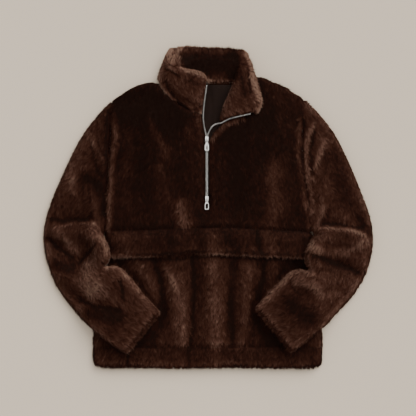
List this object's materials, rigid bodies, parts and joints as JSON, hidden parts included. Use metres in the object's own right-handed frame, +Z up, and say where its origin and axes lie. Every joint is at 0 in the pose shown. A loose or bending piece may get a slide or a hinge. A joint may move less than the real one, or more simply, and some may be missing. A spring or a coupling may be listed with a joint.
{
  "type": "faux fur pullover",
  "caption": "Half-zip pullover in brown faux fur, laid flat face up, with a stand collar, a loose band over a gathered lower tier, and bent sleeves.",
  "frame": {"origin": "centre of the laid garment's bounding box, on the surface it lies on", "axes": "+Y from the hem towards the collar; +X towards the right of the picture, the wearer's left; +Z up from the surface"},
  "size_m": [0.788, 0.7696, 0.0727],
  "materials": {
    "brown_fur": "long soft pile",
    "neck_lining": "smooth woven",
    "zip_tape": "woven tape",
    "zip_metal": "polished"
  },
  "bodies": {
    "garment": {"back_bodice": "brown_fur", "back_band": "brown_fur", "back_tier": "brown_fur", "back_hem": "brown_fur", "front_bodice": "brown_fur", "front_band": "brown_fur", "front_tier": "brown_fur", "front_hem": "brown_fur", "sleeve_left": "brown_fur", "sleeve_right": "brown_fur", "collar": "brown_fur", "neck_lining": "neck_lining", "zip_left": "zip_tape", "zip_right": "zip_tape", "slider_upper": "zip_metal", "slider_lower": "zip_metal"},
    "upper_pull": {"pull_upper": "zip_metal"},
    "lower_pull": {"pull_lower": "zip_metal"}
  },
  "joints": [
    {"name": "upper_pull_hinge", "type": "hinge", "parent": "garment", "child": "upper_pull", "pos_m": [-0.0027, 0.1614, 0.0203], "axis": [-1, 0, 0], "range_deg": [0, 150]},
    {"name": "lower_pull_hinge", "type": "hinge", "parent": "garment", "child": "lower_pull", "pos_m": [-0.0027, 0.0184, 0.0203], "axis": [-1, 0, 0], "range_deg": [0, 150]}
  ]
}
